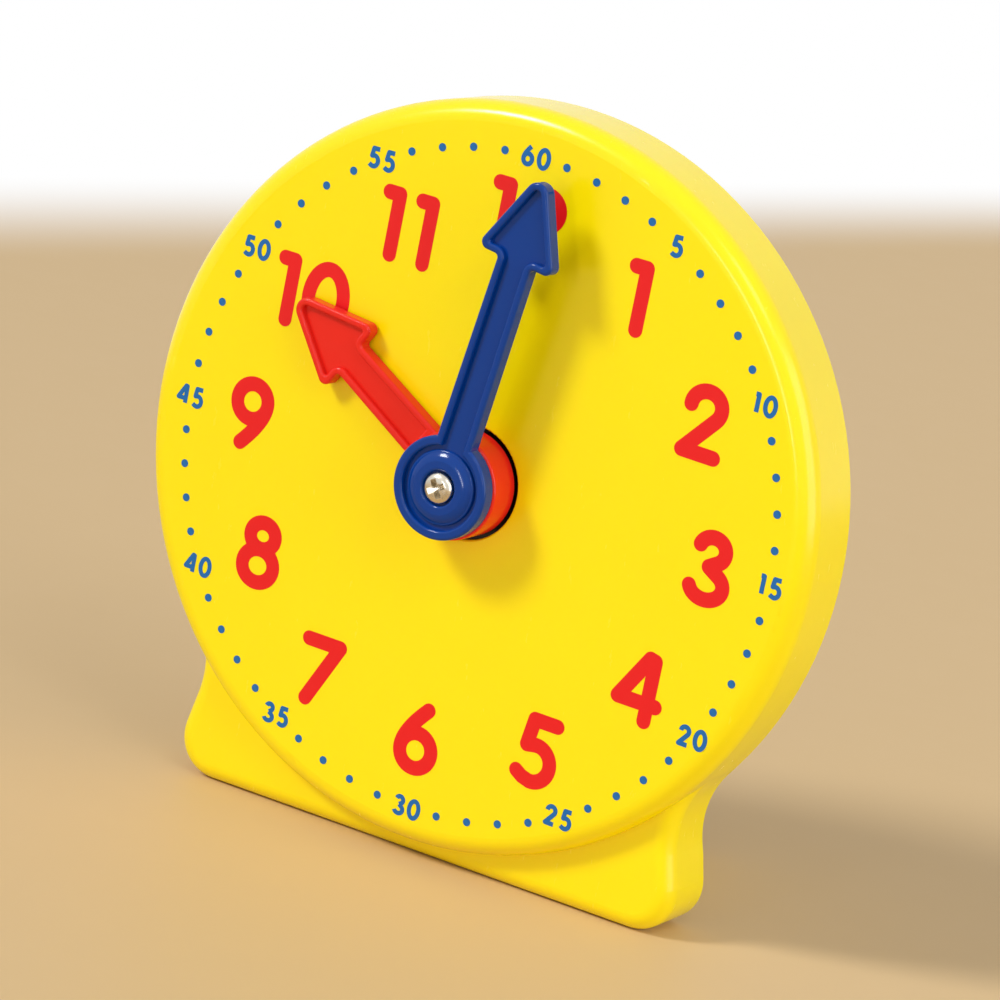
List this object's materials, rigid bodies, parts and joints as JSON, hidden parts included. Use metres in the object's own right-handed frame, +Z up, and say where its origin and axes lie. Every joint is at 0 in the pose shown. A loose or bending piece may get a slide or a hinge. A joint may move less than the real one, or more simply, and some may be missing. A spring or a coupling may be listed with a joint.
{
  "type": "geared teaching clock",
  "caption": "Free-standing student model clock with a numbered round dial on a flared foot and geared hour and minute hands that turn together twelve to one.",
  "frame": {"origin": "middle of the front housing's flat underside, on the surface the clock stands on", "axes": "+X to the viewer's right, +Z up, -Y out of the dial towards the viewer"},
  "size_m": [0.127, 0.0683, 0.13],
  "materials": {
    "housing_yellow": "glossy moulded yellow plastic",
    "hour_red": "glossy moulded red plastic",
    "minute_blue": "glossy moulded blue plastic",
    "screw_steel": "nickel-plated steel",
    "pin_steel": "ground steel",
    "gear_white": "natural moulded acetal",
    "print_red": "printed red ink",
    "print_blue": "printed blue ink"
  },
  "bodies": {
    "housing": {"front_housing": "housing_yellow", "rear_cover": "housing_yellow", "cover_screws": "screw_steel", "gear_bridge": "gear_white", "bridge_screws": "screw_steel", "hour_thrust_washer": "gear_white", "transfer_pin": "pin_steel", "transfer_washer_front": "gear_white", "transfer_washer_rear": "gear_white", "friction_spring": "pin_steel"},
    "minute": {"minute_hand": "minute_blue", "hand_screw": "screw_steel", "minute_arbor": "gear_white", "minute_pinion": "gear_white", "minute_thrust_washer": "gear_white"},
    "hour": {"hour_hand": "hour_red", "hour_wheel": "gear_white", "hour_wheel_clip": "pin_steel"},
    "transfer": {"transfer_wheel": "gear_white", "transfer_pinion": "gear_white"}
  },
  "joints": [
    {"name": "minute_turn", "type": "hinge", "parent": "housing", "child": "minute", "pos_m": [0, 0, 0.0665], "axis": [0, 1, 0], "continuous": true},
    {"name": "transfer_turn", "type": "hinge", "parent": "housing", "child": "transfer", "pos_m": [0, 0, 0.0425], "axis": [0, 1, 0], "continuous": true},
    {"name": "hour_turn", "type": "hinge", "parent": "housing", "child": "hour", "pos_m": [0, 0, 0.0665], "axis": [0, 1, 0], "continuous": true}
  ],
  "couplings": [
    {"joint": "transfer_turn", "follows": "minute_turn", "ratio": -0.33333},
    {"joint": "hour_turn", "follows": "minute_turn", "ratio": 0.083333}
  ]
}
